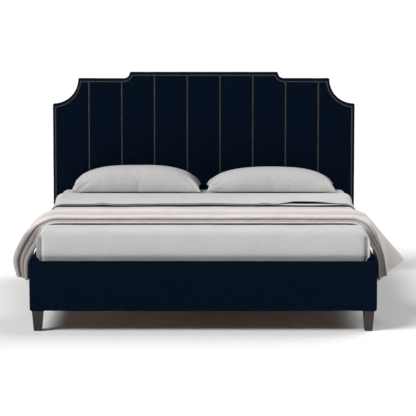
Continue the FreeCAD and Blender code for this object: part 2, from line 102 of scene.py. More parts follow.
# ---- numbers and meshes
def noise(points, size, seed=0):
    """Smooth random values from -1 to 1 at each point, with bumps about size metres across."""
    table = np.random.default_rng(seed).uniform(-1, 1, (32, 32, 32))
    place = np.asarray(points) / size
    cell = np.floor(place).astype(int)
    part = place - cell
    part = part * part * (3 - 2 * part)
    total = np.zeros(place.shape[:-1])
    for corner in np.ndindex(2, 2, 2):
        weight = np.prod(np.where(np.array(corner), part, 1 - part), axis=-1)
        index = (cell + corner) % 32
        total += weight * table[index[..., 0], index[..., 1], index[..., 2]]
    return total


def ease(value, start, end):
    """0 before start, 1 after end, and smooth between them."""
    t = np.clip((value - start) / (end - start), 0, 1)
    return t * t * (3 - 2 * t)


def add_mesh(name, points, faces, slot, body):
    """A new smooth piece, in its slot's finish, riding on a body."""
    mesh = bpy.data.meshes.new(name)
    places = np.asarray(points).reshape(-1, 3).tolist()
    mesh.from_pydata(places, [], [list(map(int, f)) for f in faces])
    mesh.polygons.foreach_set("use_smooth", [True] * len(mesh.polygons))
    mesh.materials.append(MATERIALS[slot])
    mesh.update()
    piece = bpy.data.objects.new(name, mesh)
    bpy.context.scene.collection.objects.link(piece)
    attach(piece, body)
    return piece


def quads_between(index):
    """Quads between the points whose numbers are in a table of rows and columns."""
    corners = [index[:-1, :-1], index[:-1, 1:], index[1:, 1:], index[1:, :-1]]
    return np.stack(corners, axis=-1).reshape(-1, 4)


def grid_faces(rows, columns, flip=False):
    """Quads between the points of a grid that is stored row by row."""
    quads = quads_between(np.arange(rows * columns).reshape(rows, columns))
    return quads[:, ::-1] if flip else quads


def add_modifier(piece, kind, **settings):
    made = piece.modifiers.new(kind.title(), kind)
    for key, value in settings.items():
        setattr(made, key, value)
    return made


def thicken(piece, thickness, offset=-1):
    add_modifier(piece, "SOLIDIFY", thickness=thickness, offset=offset, use_rim=True)


def lines_between(low, high, radius, step, extra=()):
    """Places along one side of a rounded box: close together round its ends, about step apart between."""
    bend = radius * (1 - np.tan(np.radians(np.linspace(45, 0, 6)[:-1])))
    count = max(2, round((high - low - 2 * radius) / step) + 1)
    middle = np.linspace(low + radius, high - radius, count)
    return np.unique(np.concatenate([low + bend, middle, high - bend, np.asarray(extra, float)]).round(6))


def rounded_box(low, high, radius, steps, extra_x=()):
    """Points, outward normals and quads of a box with rounded edges, divided about every step."""
    low, high = np.array(low, float), np.array(high, float)
    extras = (extra_x, (), ())
    lines = [lines_between(low[a], high[a], radius, steps[a], extras[a]) for a in range(3)]
    counts = [len(line) for line in lines]
    number = -np.ones(counts, int)
    on_side = [c for c in np.ndindex(*counts) if any(c[a] in (0, counts[a] - 1) for a in range(3))]
    cells = np.array(on_side)
    number[tuple(cells.T)] = np.arange(len(cells))
    flat = np.stack([lines[a][cells[:, a]] for a in range(3)], axis=1)
    core = np.clip(flat, low + radius, high - radius)
    normals = flat - core
    normals /= np.linalg.norm(normals, axis=1, keepdims=True)
    faces = []
    for axis in range(3):
        for end in (0, counts[axis] - 1):
            side = np.take(number, end, axis=axis)
            corners = [side[:-1, :-1], side[1:, :-1], side[1:, 1:], side[:-1, 1:]]
            quads = np.stack(corners, axis=-1).reshape(-1, 4)
            outward = (end > 0) != (axis == 1)
            faces.append(quads if outward else quads[:, ::-1])
    return core + radius * normals, normals, np.concatenate(faces)


def tube_mesh(path, radius, sides=10):
    """Points and quads of a tube along a closed path."""
    path = np.asarray(path)
    along = np.roll(path, -1, axis=0) - np.roll(path, 1, axis=0)
    along /= np.linalg.norm(along, axis=1, keepdims=True)
    up = np.broadcast_to([0.0, 0.0, 1.0], path.shape)
    out = np.cross(along, up)
    out /= np.linalg.norm(out, axis=1, keepdims=True)
    angles = np.linspace(0, 2 * math.pi, sides, endpoint=False)
    across, rise = np.cos(angles)[None, :, None], np.sin(angles)[None, :, None]
    ring = across * out[:, None] + rise * up[:, None]
    points = path[:, None] + radius * ring
    index = np.arange(len(path) * sides).reshape(len(path), sides)
    return points.reshape(-1, 3), quads_between(np.pad(index, (0, 1), mode="wrap"))


# ---- materials
class Finish:
    """A Principled material being made, with short calls for its nodes. Patterns are in metres."""

    def __init__(self, name, **sockets):
        self.material = bpy.data.materials.new(name)
        self.material.use_nodes = True
        self.tree = self.material.node_tree
        self.shader = self.tree.nodes["Principled BSDF"]
        self.place = self.tree.nodes.new("ShaderNodeTexCoord").outputs["Object"]
        for key, value in sockets.items():
            self.shader.inputs[key.replace("_", " ")].default_value = value

    def node(self, kind, inputs, **settings):
        made = self.tree.nodes.new("ShaderNode" + kind)
        for key, value in settings.items():
            setattr(made, key, value)
        for key, value in inputs.items():
            if isinstance(value, bpy.types.NodeSocket):
                self.tree.links.new(value, made.inputs[key])
            else:
                made.inputs[key].default_value = value
        return made

    def stretched(self, scale):
        return self.node("Mapping", {"Vector": self.place, "Scale": scale}).outputs["Vector"]

    def noise(self, size, detail=3.0, roughness=0.55, stretch=(1, 1, 1), distortion=0.0):
        inputs = {
            "Vector": self.stretched(stretch), "Scale": 1 / size, "Detail": detail,
            "Roughness": roughness, "Distortion": distortion,
        }
        return self.node("TexNoise", inputs).outputs["Fac"]

    def bands(self, pitch, direction):
        """A soft wave across one axis, one crest every pitch metres."""
        inputs = {"Vector": self.place, "Scale": math.pi / (10 * pitch), "Distortion": 0.4, "Detail": 1.0}
        return self.node("TexWave", inputs, bands_direction=direction).outputs["Fac"]

    def weave(self, pitch):
        """Crossing threads on faces that look along any axis."""
        x, y, z = (self.bands(pitch, axis) for axis in "XYZ")
        return self.math("ADD", self.math("ADD", x, y), z)

    def math(self, operation, a, b=0.5, clamp=False):
        return self.node("Math", {0: a, 1: b}, operation=operation, use_clamp=clamp).outputs[0]

    def scaled(self, value, low, high, to_low, to_high):
        inputs = {"Value": value, "From Min": low, "From Max": high, "To Min": to_low, "To Max": to_high}
        return self.node("MapRange", inputs).outputs["Result"]

    def mix(self, factor, a, b, blend="MIX"):
        made = self.node("Mix", {"Factor": factor}, data_type="RGBA", blend_type=blend)
        for socket, value in (("A", a), ("B", b)):
            target = [s for s in made.inputs if s.name == socket and s.type == "RGBA"][0]
            if isinstance(value, bpy.types.NodeSocket):
                self.tree.links.new(value, target)
            else:
                target.default_value = (*value, 1)
        return [s for s in made.outputs if s.type == "RGBA"][0]

    def colour(self, socket):
        self.tree.links.new(socket, self.shader.inputs["Base Color"])

    def roughness(self, value, low, high, span=(0.3, 0.7)):
        """Roughness from low to high, as a pattern's value goes through span."""
        self.tree.links.new(self.scaled(value, *span, low, high), self.shader.inputs["Roughness"])

    def bump(self, *layers):
        """Each layer is (height socket, distance in metres, strength)."""
        normal = None
        for height, distance, strength in layers:
            inputs = {"Height": height, "Distance": distance, "Strength": strength}
            if normal is not None:
                inputs["Normal"] = normal
            normal = self.node("Bump", inputs).outputs["Normal"]
        self.tree.links.new(normal, self.shader.inputs["Normal"])


def navy_cloth():
    """Dark navy upholstery cloth: short soft pile over a fine weave, with faint cloudy patches and lint."""
    f = Finish("navy_cloth", Sheen_Weight=0.012, Sheen_Roughness=0.4, Sheen_Tint=(0.05, 0.25, 0.60, 1),
               Specular_IOR_Level=0.0)
    patches = f.noise(0.16, 4)
    mottle = f.noise(0.0045, 2, 0.7)
    grain = f.noise(0.011, 4, 0.75)
    base = f.mix(patches, (0.0016, 0.0050, 0.0122), (0.0024, 0.0066, 0.0158))
    base = f.mix(f.scaled(grain, 0.42, 0.62, 0, 0.75), base, (0.0042, 0.0096, 0.0205))
    base = f.mix(f.scaled(mottle, 0.35, 0.7, 0, 0.45), base, (0.0050, 0.0110, 0.0225))
    lint = f.scaled(f.noise(0.0016, 2, 0.8), 0.70, 0.78, 0, 0.35)
    f.colour(f.mix(lint, base, (0.016, 0.026, 0.040)))
    f.roughness(patches, 0.82, 0.95)
    f.bump((f.weave(0.0011), 0.00025, 0.5), (mottle, 0.0004, 0.5), (patches, 0.002, 0.2))
    return f.material


def black_lining():
    """Thin non-woven lining on the headboard's back."""
    f = Finish("black_lining", Specular_IOR_Level=0.2)
    fibres = f.noise(0.004, 5, 0.75, (1, 1, 3))
    f.colour(f.mix(fibres, (0.008, 0.008, 0.009), (0.022, 0.022, 0.024)))
    f.roughness(fibres, 0.75, 0.95)
    f.bump((fibres, 0.0005, 0.6), (f.noise(0.06, 3), 0.004, 0.25))
    return f.material


def aged_nails():
    """Aged pewter nail heads: dark in their low places and rubbed lighter on top."""
    f = Finish("aged_nails", Metallic=0.85)
    patina = f.noise(0.004, 4, 0.6)
    tone = f.mix(f.scaled(patina, 0.35, 0.65, 0, 1), (0.035, 0.032, 0.030), (0.125, 0.117, 0.108))
    spots = f.scaled(f.noise(0.0015, 3, 0.7), 0.55, 0.7, 0, 1)
    f.colour(f.mix(spots, tone, (0.018, 0.016, 0.015)))
    f.roughness(patina, 0.28, 0.5)
    f.bump((f.noise(0.0012, 3), 0.0002, 0.4))
    return f.material


def wood(name, dark, light, stretch, polish, pores=0.0004):
    """Long grain along the axis where stretch is small, with rings, pores and a little wear."""
    f = Finish(name, Coat_Weight=polish, Coat_Roughness=0.25)
    grain = f.noise(0.012, 6, 0.65, stretch, 0.6)
    rings = f.noise(0.05, 3, 0.5, stretch, 1.2)
    fine = f.noise(0.0022, 3, 0.7, stretch)
    tone = f.mix(f.scaled(grain, 0.3, 0.7, 0, 1), dark, light)
    middle = tuple((a + b) / 2.4 for a, b in zip(dark, light))
    tone = f.mix(f.scaled(rings, 0.45, 0.6, 0, 0.5), tone, middle)
    f.colour(f.mix(f.scaled(fine, 0.55, 0.75, 0, 0.6), tone, dark))
    f.roughness(grain, 0.35 if polish else 0.6, 0.5 if polish else 0.8)
    f.bump((fine, pores, 0.5), (grain, pores, 0.4))
    return f.material


def metal(name, light, dark, roughness, metallic=1.0):
    """Plated or painted steel with a cloudy tone and rubbed spots."""
    f = Finish(name, Metallic=metallic)
    cloud = f.noise(0.02, 5, 0.6)
    f.colour(f.mix(f.scaled(cloud, 0.3, 0.7, 0, 1), light, dark))
    f.roughness(cloud, roughness - 0.08, roughness + 0.12)
    f.bump((f.noise(0.001, 2), 0.0001, 0.3))
    return f.material


def black_plastic():
    f = Finish("black_plastic")
    grain = f.noise(0.0012, 2, 0.6)
    f.colour(f.mix(f.noise(0.02, 3), (0.012, 0.012, 0.013), (0.022, 0.021, 0.021)))
    f.roughness(grain, 0.45, 0.65)
    f.bump((grain, 0.0001, 0.5))
    return f.material


def cotton(name, light, dark, thread=0.0006, crease_depth=0.0022):
    """Plain-woven cotton sheeting with faint creases left from folding and use, the crease lines also darkened
    in colour as painted shade.
    """
    f = Finish(name, Sheen_Weight=0.08, Sheen_Roughness=0.5, Specular_IOR_Level=0.25)
    creases = f.noise(0.075, 5, 0.6, (1, 0.7, 1.2), 1.4)
    ridges = f.math("ABSOLUTE", f.math("SUBTRACT", creases, 0.5))
    cloud = f.noise(0.25, 3)
    tone = f.mix(f.scaled(cloud, 0.3, 0.7, 0, 1), light, dark)
    # painted shade: along the crease lines the colour is darkened towards 0.86 of the dark tone
    f.colour(f.mix(f.scaled(ridges, 0.0, 0.03, 0.20, 0), tone, tuple(c * 0.86 for c in dark)))
    f.roughness(creases, 0.78, 0.92)
    f.bump((f.weave(thread), 0.0001, 0.35), (f.scaled(ridges, 0, 0.08, 0, 1), crease_depth, 0.35))
    return f.material


def wool():
    """Soft brushed wool in a pale pinkish beige: a fine rib under a short nap.
    Painted shade darkens it in the dip along the throw's top and on the folded near edges where they hang."""
    f = Finish("wool", Sheen_Weight=0.35, Sheen_Roughness=0.5, Sheen_Tint=(1.0, 0.93, 0.9, 1),
               Specular_IOR_Level=0.15)
    nap = f.noise(0.006, 5, 0.75)
    cloud = f.noise(0.09, 3)
    tone = f.mix(f.scaled(cloud, 0.3, 0.7, 0, 1), (0.88, 0.835, 0.810), (0.79, 0.740, 0.715))
    tone = f.mix(f.scaled(nap, 0.45, 0.7, 0, 0.35), tone, (0.64, 0.575, 0.545))
    place = f.node("SeparateXYZ", {"Vector": f.place}).outputs
    along, height = place["Y"], place["Z"]
    # painted shade: a darker band across the dip along the throw's top, between y -0.71 and -0.44, stands in
    # for shadow there
    near_side, far_side = f.scaled(along, -0.71, -0.62, 0, 1), f.scaled(along, -0.44, -0.53, 0, 1)
    painted_dip_shade = f.math("MULTIPLY", near_side, far_side, True)
    tone = f.mix(f.math("MULTIPLY", painted_dip_shade, 0.85), tone, (0.60, 0.545, 0.52))
    # painted shade: the near folded edges, where they hang below z 0.50, are darkened towards (0.36, 0.325,
    # 0.31) to stand in for shadow on them
    near_fold_shade_ramp, hang_shade_ramp = f.scaled(along, -0.745, -0.765, 0, 1), f.scaled(height, 0.56, 0.50, 0, 1)
    edge = f.math("MULTIPLY", near_fold_shade_ramp, hang_shade_ramp, True)
    f.colour(f.mix(f.math("MULTIPLY", edge, 0.9), tone, (0.36, 0.325, 0.31)))
    f.roughness(nap, 0.85, 0.97)
    f.bump((f.weave(0.0024), 0.0005, 0.5), (nap, 0.0012, 0.6))
    return f.material


def foam():
    """Cream open-cell foam."""
    f = Finish("foam", Specular_IOR_Level=0.2)
    cells = f.node("TexVoronoi", {"Vector": f.place, "Scale": 450.0}).outputs["Distance"]
    f.colour(f.mix(cells, (0.42, 0.38, 0.27), (0.66, 0.61, 0.45)))
    f.roughness(cells, 0.95, 0.85, (0, 0.6))
    f.bump((cells, 0.0008, 0.7))
    return f.material


def pocket_cloth(name, light, dark, pitch):
    """Coarse non-woven or tape cloth."""
    f = Finish(name, Specular_IOR_Level=0.2)
    spots = f.weave(pitch)
    f.colour(f.mix(f.scaled(spots, 0.8, 2.2, 0, 1), dark, light))
    f.roughness(f.noise(0.01, 3), 0.8, 0.95)
    f.bump((spots, 0.0004, 0.6))
    return f.material


MATERIALS = {
    "upholstery": navy_cloth(),
    "back_cloth": black_lining(),
    "antique_nails": aged_nails(),
    "foam": foam(),
    "walnut": wood("walnut", (0.010, 0.0055, 0.0055), (0.036, 0.023, 0.022), (1, 1, 0.09), 0.12),
    "pine": wood("pine", (0.40, 0.25, 0.12), (0.66, 0.47, 0.27), (0.07, 1, 1), 0.0),
    "pine_long": wood("pine_long", (0.38, 0.24, 0.12), (0.64, 0.46, 0.27), (1, 0.07, 1), 0.0),
    "pine_upright": wood("pine_upright", (0.40, 0.25, 0.12), (0.66, 0.47, 0.27), (1, 1, 0.07), 0.0),
    "plywood": wood("plywood", (0.36, 0.22, 0.11), (0.58, 0.41, 0.23), (0.10, 1, 0.7), 0.0),
    "black_plastic": black_plastic(),
    "zinc_steel": metal("zinc_steel", (0.62, 0.60, 0.55), (0.42, 0.42, 0.41), 0.34),
    "black_steel": metal("black_steel", (0.018, 0.018, 0.019), (0.034, 0.033, 0.033), 0.45, 0.3),
    "webbing": pocket_cloth("webbing", (0.06, 0.06, 0.06), (0.012, 0.012, 0.012), 0.0016),
    "spring_pockets": pocket_cloth("spring_pockets", (0.74, 0.74, 0.73), (0.58, 0.58, 0.58), 0.0022),
    "ticking": cotton("ticking", (0.72, 0.72, 0.70), (0.62, 0.62, 0.60), 0.0016),
    "white_cotton": cotton("white_cotton", (0.650, 0.645, 0.640), (0.605, 0.600, 0.596)),
    "pillow_cotton": cotton("pillow_cotton", (0.600, 0.595, 0.590), (0.560, 0.555, 0.551), 0.0006, 0.0012),
    "wool_throw": wool(),
}
GRAIN_ALONG = {
    "pine_long": ("side_rail_board_left", "side_rail_board_right", "slat_ledger_left", "slat_ledger_right",
                  "centre_beam"),
    "pine_upright": ("headboard_post_left", "headboard_post_right", "centre_legs", "corner_block_left",
                     "corner_block_right"),
}


def finish_cad_nodes():
    """Gives each CAD node its finish, and takes the hard edge off the wooden ones."""
    grain = {node: name for name, nodes in GRAIN_ALONG.items() for node in nodes}
    for part in frame["record"]["subparts"]:
        piece = frame["nodes"][part["node"]]
        material = MATERIALS[grain.get(part["node"], part["material_slot"])]
        for slot in piece.material_slots:
            slot.material = material
        if part["material_slot"] in ("walnut", "pine", "plywood"):
            width = 0.0035 if part["material_slot"] == "walnut" else 0.0015
            add_modifier(piece, "BEVEL", width=width, segments=3, limit_method="ANGLE",
                         use_clamp_overlap=True)


# ---- headboard
def half_outline(bottom):
    """The outline's right half in x and z, from its foot to the crest's middle, its corners softened."""
    turn = np.radians(np.linspace(0, 90, 40))[:, None]
    shoulder = np.array([HALF_WIDTH, TIER_Z]) - SHOULDER_ARC * np.hstack([np.sin(turn), np.cos(turn)])
    step = np.array([STEP_X, CREST_Z]) - STEP_ARC * np.hstack([np.sin(turn), np.cos(turn)])
    side = np.array([[HALF_WIDTH, z] for z in np.linspace(bottom, TIER_Z - SHOULDER_ARC, 60)])
    tier = np.array([[x, TIER_Z] for x in np.linspace(HALF_WIDTH - SHOULDER_ARC, STEP_X, 40)])
    crest = np.array([[x, CREST_Z] for x in np.linspace(STEP_X - STEP_ARC, 0, 60)])
    line = np.concatenate([side, shoulder[1:], tier[1:], step[1:], crest[1:]])
    for corner in (side[-1], tier[0], crest[0]):
        line = soften(line, corner)
    return line


def soften(line, corner):
    """Replaces the stretch of a line within reach of a corner by a small curve."""
    away = np.linalg.norm(line - corner, axis=1)
    near = np.flatnonzero(away < CORNER_SOFTNESS)
    before, after = line[near[0] - 1], line[near[-1] + 1]
    start = corner + (before - corner) * CORNER_SOFTNESS / np.linalg.norm(before - corner)
    end = corner + (after - corner) * CORNER_SOFTNESS / np.linalg.norm(after - corner)
    t = np.linspace(0, 1, 8)[:, None]
    bend = (1 - t) ** 2 * start + 2 * t * (1 - t) * corner + t**2 * end
    return np.concatenate([line[: near[0]], bend, line[near[-1] + 1 :]])


OUTLINE = half_outline(BAND_LOW.z)


def outline_top(x):
    """The outline's height above each x."""
    rising = OUTLINE[OUTLINE[:, 0] < HALF_WIDTH - 1e-7][::-1]
    return np.interp(np.abs(x), rising[:, 0], rising[:, 1])


def outline_distance(x, z):
    """How far inside the outline a point is."""
    p = np.stack([np.abs(x), z], axis=-1)
    best = np.full(p.shape[:-1], 9.0)
    for a, b in zip(OUTLINE[:-1], OUTLINE[1:]):
        d = b - a
        t = np.clip(((p - a) @ d) / (d @ d), 0, 1)
        best = np.minimum(best, np.linalg.norm(p - a - t[..., None] * d, axis=-1))
    return best


def seam_places():
    return [(i - (CHANNELS - 2) / 2) * SEAM_PITCH for i in range(CHANNELS - 1)]


def close_to_edge(reach):
    """Distances from an edge, close together near it."""
    return reach * np.array([0, 0.01, 0.04, 0.09, 0.16, 0.25, 0.36, 0.49, 0.64, 0.81, 1.0])


def channel_columns(left, right):
    """Places across a channel: close together at its seams and wherever the outline is steep."""
    reach = 0.022
    places = [left + close_to_edge(reach), right - close_to_edge(reach)]
    places.append(np.linspace(left + reach, right - reach, 16))
    for sign in (-1, 1):
        corner = sign * (HALF_WIDTH - SHOULDER_ARC)
        small = sign * (STEP_X - STEP_ARC)
        places += [corner - sign * close_to_edge(reach), small - sign * close_to_edge(reach)]
        places.append(sign * OUTLINE[::2, 0])
    places = np.unique(np.concatenate(places).round(5))
    return places[(places >= left - 1e-6) & (places <= right + 1e-6)]


def panel(name, left, right, bottom, top_at, crown):
    """An upholstered panel of the headboard's front, closed behind."""
    x = channel_columns(left, right)
    top = top_at(x)
    reach = 0.024
    from_top = close_to_edge(reach)
    rows = [top - d for d in from_top]
    count = 90 if bottom > 0.3 else 24
    rows += [top - reach + (bottom - top + reach) * t for t in np.linspace(0, 1, count)[1:]]
    z = np.stack(rows)
    xx = np.broadcast_to(x, z.shape)
    edge = outline_distance(xx, z)
    across = (xx - left) / (right - left)
    swell = np.sin(math.pi * np.clip(across, 0, 1)).clip(0) ** 0.7 * ease(edge, NAIL_INSET, 0.09) * crown
    welt = 0.0016 * np.sin(math.pi * np.clip(edge / NAIL_INSET, 0, 1))
    points = np.stack([xx, np.full_like(z, HEAD_FACE), z], axis=-1)
    soft = 0.0004 * noise(points, 0.05, 3) * ease(edge, 0.0, 0.03)
    roll = np.clip(EDGE_ROLL - edge, 0, EDGE_ROLL)
    points[..., 1] += EDGE_ROLL - np.sqrt(EDGE_ROLL**2 - roll**2) - swell - welt - soft
    n_rows, n_columns = z.shape
    index = np.arange(n_rows * n_columns).reshape(n_rows, n_columns)
    rim = np.concatenate([index[0, :-1], index[:-1, -1], index[-1, :0:-1], index[:0:-1, 0]])
    front = points.reshape(-1, 3)
    middle = front[rim].mean(axis=0)
    back = middle + (front[rim] - middle) * 0.985
    back[:, 1] = HEAD_FACE + 0.0235
    faces = list(grid_faces(n_rows, n_columns))
    first = len(front)
    for i in range(len(rim)):
        j = (i + 1) % len(rim)
        faces.append([rim[j], rim[i], first + i, first + j])
    faces.append(list(range(first, first + len(rim))))
    return add_mesh(name, np.concatenate([front, back]), faces, "upholstery", "frame")


def headboard_panels():
    bounds = [-HALF_WIDTH] + seam_places() + [HALF_WIDTH]
    for i in range(CHANNELS):
        name = f"channel_padding_{i + 1}"
        piece = panel(name, bounds[i], bounds[i + 1], PADDING_BOTTOM, outline_top, CROWN)
        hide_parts(f"headboard_channel_{i + 1}")


def full_outline():
    left = OUTLINE * np.array([-1, 1])
    return np.concatenate([left, OUTLINE[::-1][1:]])


def outward_normals(line):
    along = np.gradient(line, axis=0)
    along /= np.linalg.norm(along, axis=1, keepdims=True)
    return np.stack([-along[:, 1], along[:, 0]], axis=1)


def edge_band():
    """The cloth round the headboard's edge, from the front roll a little way onto the back."""
    line = full_outline()
    out = outward_normals(line)
    back = HEAD_BACK - 0.0002
    section = [(HEAD_FACE + EDGE_ROLL - 0.001, -0.0012), (HEAD_FACE + EDGE_ROLL + 0.001, 0.0)]
    section += [(HEAD_FACE + 0.018 + 0.010 * i, 0.0009 * math.sin(math.pi * (i + 1) / 7)) for i in range(6)]
    section += [(back - 0.0055, 0.0), (back - 0.0022, -0.0012), (back - 0.0005, -0.0040), (back, -0.0085)]
    section += [(back, -0.016), (back, -0.024)]
    rows = []
    for y, offset in section:
        where = line + out * offset
        rows.append(np.stack([where[:, 0], np.full(len(line), y), where[:, 1]], axis=1))
    points = np.stack(rows)
    puffs = 0.0006 * noise(points, 0.06, 11)
    points[2:9, :, 0] += (puffs * out[:, 0])[2:9]
    points[2:9, :, 2] += (puffs * out[:, 1])[2:9]
    piece = add_mesh("edge_band_cloth", points, grid_faces(*points.shape[:2], flip=True),
                     "upholstery", "frame")
    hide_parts("headboard_edge_band")


def back_lining():
    """The lining on the back, inside the turned edge of the band."""
    x = channel_columns(-HALF_WIDTH, HALF_WIDTH)
    x = x * (HALF_WIDTH - LINING_INSET) / HALF_WIDTH
    top = outline_top(x) - LINING_INSET
    bottom = BAND_LOW.z + 0.004
    z = np.stack([bottom + (top - bottom) * t for t in np.linspace(0, 1, 60)])
    xx = np.broadcast_to(x, z.shape)
    points = np.stack([xx, np.full_like(z, HEAD_BACK + 0.0006), z], axis=-1)
    loose = ease(outline_distance(xx, z), 0.02, 0.2)
    points[..., 1] -= 0.0012 * loose * (1 + noise(points, 0.16, 5))
    piece = add_mesh("back_lining", points, grid_faces(*z.shape), "back_cloth", "frame")
    thicken(piece, 0.0005, 0)
    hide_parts("headboard_back_cover")


def back_staples():
    """The row of staples that holds the lining, one every STAPLE_PITCH along its edge."""
    line = full_outline()
    out = outward_normals(line)
    gone = np.concatenate([[0], np.cumsum(np.linalg.norm(np.diff(line, axis=0), axis=1))])
    points, faces = [], []
    for at in np.arange(0.03, gone[-1], STAPLE_PITCH):
        i = int(np.searchsorted(gone, at))
        along = np.array([out[i, 1], -out[i, 0]])
        centre = line[i] - out[i] * (LINING_INSET + 0.007)
        first = len(points)
        for step in (-1, -0.9, 0.9, 1):
            depth = HEAD_BACK + (0.0012 if abs(step) < 1 else 0.0004)
            for side in (-1, 1):
                where = centre + along * step * 0.005 + out[i] * side * 0.0006
                points.append((where[0], depth, where[1]))
                points.append((where[0], depth - 0.0008, where[1]))
        for k in range(3):
            a, b = first + 4 * k, first + 4 * (k + 1)
            faces += [[a, a + 2, b + 2, b], [a + 1, b + 1, b + 3, a + 3], [a, b, b + 1, a + 1],
                      [a + 2, a + 3, b + 3, b + 2]]
        last = first + 12
        faces += [[first, first + 1, first + 3, first + 2], [last, last + 2, last + 3, last + 1]]
    add_mesh("back_staples", points, faces, "zinc_steel", "frame")


def lower_cloth():
    """The cloth on the lower part of the headboard's front, behind the mattress."""

    def top_at(x):
        return np.full_like(x, LOWER_CLOTH_TOP)

    piece = panel("lower_front_cloth", -HALF_WIDTH, HALF_WIDTH, BAND_LOW.z, top_at, 0.0)
    for vertex in piece.data.vertices:
        vertex.co.y += 0.0004
    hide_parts("headboard_lower_board")


# ---- rails
def padded_rail(name, node, foam_node, seed):
    """A rail's cloth over foam: a soft rounded box, slightly puckered along its lower edge."""
    low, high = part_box(node)
    points, normals, faces = rounded_box(low, high, 0.011, (0.03, 0.03, 0.02))
    height = (points[:, 2] - low.z) / (high.z - low.z)
    soft = 0.0011 * noise(points, 0.18, seed) + 0.0005 * noise(points, 0.05, seed + 1)
    pull = 0.0006 * noise(points * np.array([1, 1, 0.2]), 0.03, seed + 2)
    pull = pull * ease(0.25 - height, 0, 0.25)
    points = points + normals * (soft + pull - 0.0008)[:, None]
    piece = add_mesh(name, points, faces, "upholstery", "frame")
    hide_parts(node, foam_node)


def padded_rails():
    padded_rail("foot_rail_padding", "foot_rail_cover", "foot_rail_foam", 21)
    padded_rail("side_rail_padding_left", "side_rail_cover_left", "side_rail_foam_left", 31)
    padded_rail("side_rail_padding_right", "side_rail_cover_right", "side_rail_foam_right", 41)


# ---- mattress and sheets
def mattress():
    """The mattress in its ticking, its soft sides in three rows."""
    points, normals, faces = rounded_box(MATTRESS_LOW, MATTRESS_HIGH, 0.042, (0.05, 0.05, 0.02))
    upright = 1 - np.abs(normals[:, 2])
    height = (points[:, 2] - MATTRESS_LOW.z) / (MATTRESS_HIGH.z - MATTRESS_LOW.z)
    rows = np.abs(np.sin(3 * math.pi * height)) - 1
    points = points + normals * (0.0022 * upright * rows - 0.0008)[:, None]
    piece = add_mesh("mattress_ticking", points, faces, "ticking", "mattress")
    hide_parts("mattress_cover")


def mattress_piping():
    """The piping round the mattress, PIPING_INSET inside its box at each edge."""
    middle = (MATTRESS_LOW + MATTRESS_HIGH) / 2
    rounding = 0.030
    heights = (("lower", MATTRESS_LOW.z + PIPING_INSET), ("upper", MATTRESS_HIGH.z - PIPING_INSET))
    for name, height in heights:
        path = []
        for turn in np.radians(np.arange(0, 360, 5)):
            way = np.sign([round(math.cos(turn), 9), round(math.sin(turn), 9)])
            half_length = (MATTRESS_HIGH.y - MATTRESS_LOW.y) / 2
            half = np.array([MATTRESS_HIGH.x - PIPING_INSET, half_length - PIPING_INSET])
            reach = half - rounding
            where = reach * way + rounding * np.array([math.cos(turn), math.sin(turn)])
            path.append((middle.x + where[0], middle.y + where[1], height))
        points, faces = tube_mesh(path, 0.0035)
        add_mesh(f"mattress_piping_{name}", points, faces, "ticking", "mattress")


def open_box(low, high, radius, steps, hem, extra_x=(), head_open=False):
    """The faces of a rounded box above its hem, and without its head end if that is open."""
    points, normals, faces = rounded_box(low, high, radius, steps, extra_x)
    middle = points[faces].mean(axis=1)
    keep = middle[:, 2] > hem
    if head_open:
        keep &= middle[:, 1] < high[1] - radius * 0.5
    faces = faces[keep]
    used, renumbered = np.unique(faces, return_inverse=True)
    return points[used], normals[used], renumbered.reshape(-1, 4)


def fitted_sheet():
    """The sheet pulled over the whole mattress, with small gathers along its hem."""
    low = (MATTRESS_LOW.x - 0.0025, MATTRESS_LOW.y - 0.0025, 0.20)
    high = (MATTRESS_HIGH.x + 0.0025, MATTRESS_HIGH.y + 0.0025, MATTRESS_HIGH.z + 0.0015)
    points, normals, faces = open_box(low, high, 0.044, (0.035, 0.035, 0.02), SHEET_HEM)
    corner = np.abs(normals[:, 0] * normals[:, 1]) * 2
    low_down = ease(SHEET_HEM + 0.10 - points[:, 2], 0, 0.10)
    gathers = 0.0006 * np.sin(points[:, 0] * 260 + points[:, 1] * 260) * low_down * (0.3 + corner)
    soft = 0.0005 * noise(points, 0.15, 51)
    points = points + normals * (gathers + soft)[:, None]
    piece = add_mesh("fitted_sheet_cloth", points, faces, "white_cotton", "mattress")
    thicken(piece, 0.0007)
    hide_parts("fitted_sheet")


SLIT_X = 0.895
SLIT_WIDTH = 0.0036
SLIT_DEPTH = 0.022
TOP_SHEET_HALF = 0.9045
SIDE_BULGE = 0.018
TOP_SHEET_FOOT = FOOT_INNER - 0.006
TUCKED_Z = 0.345


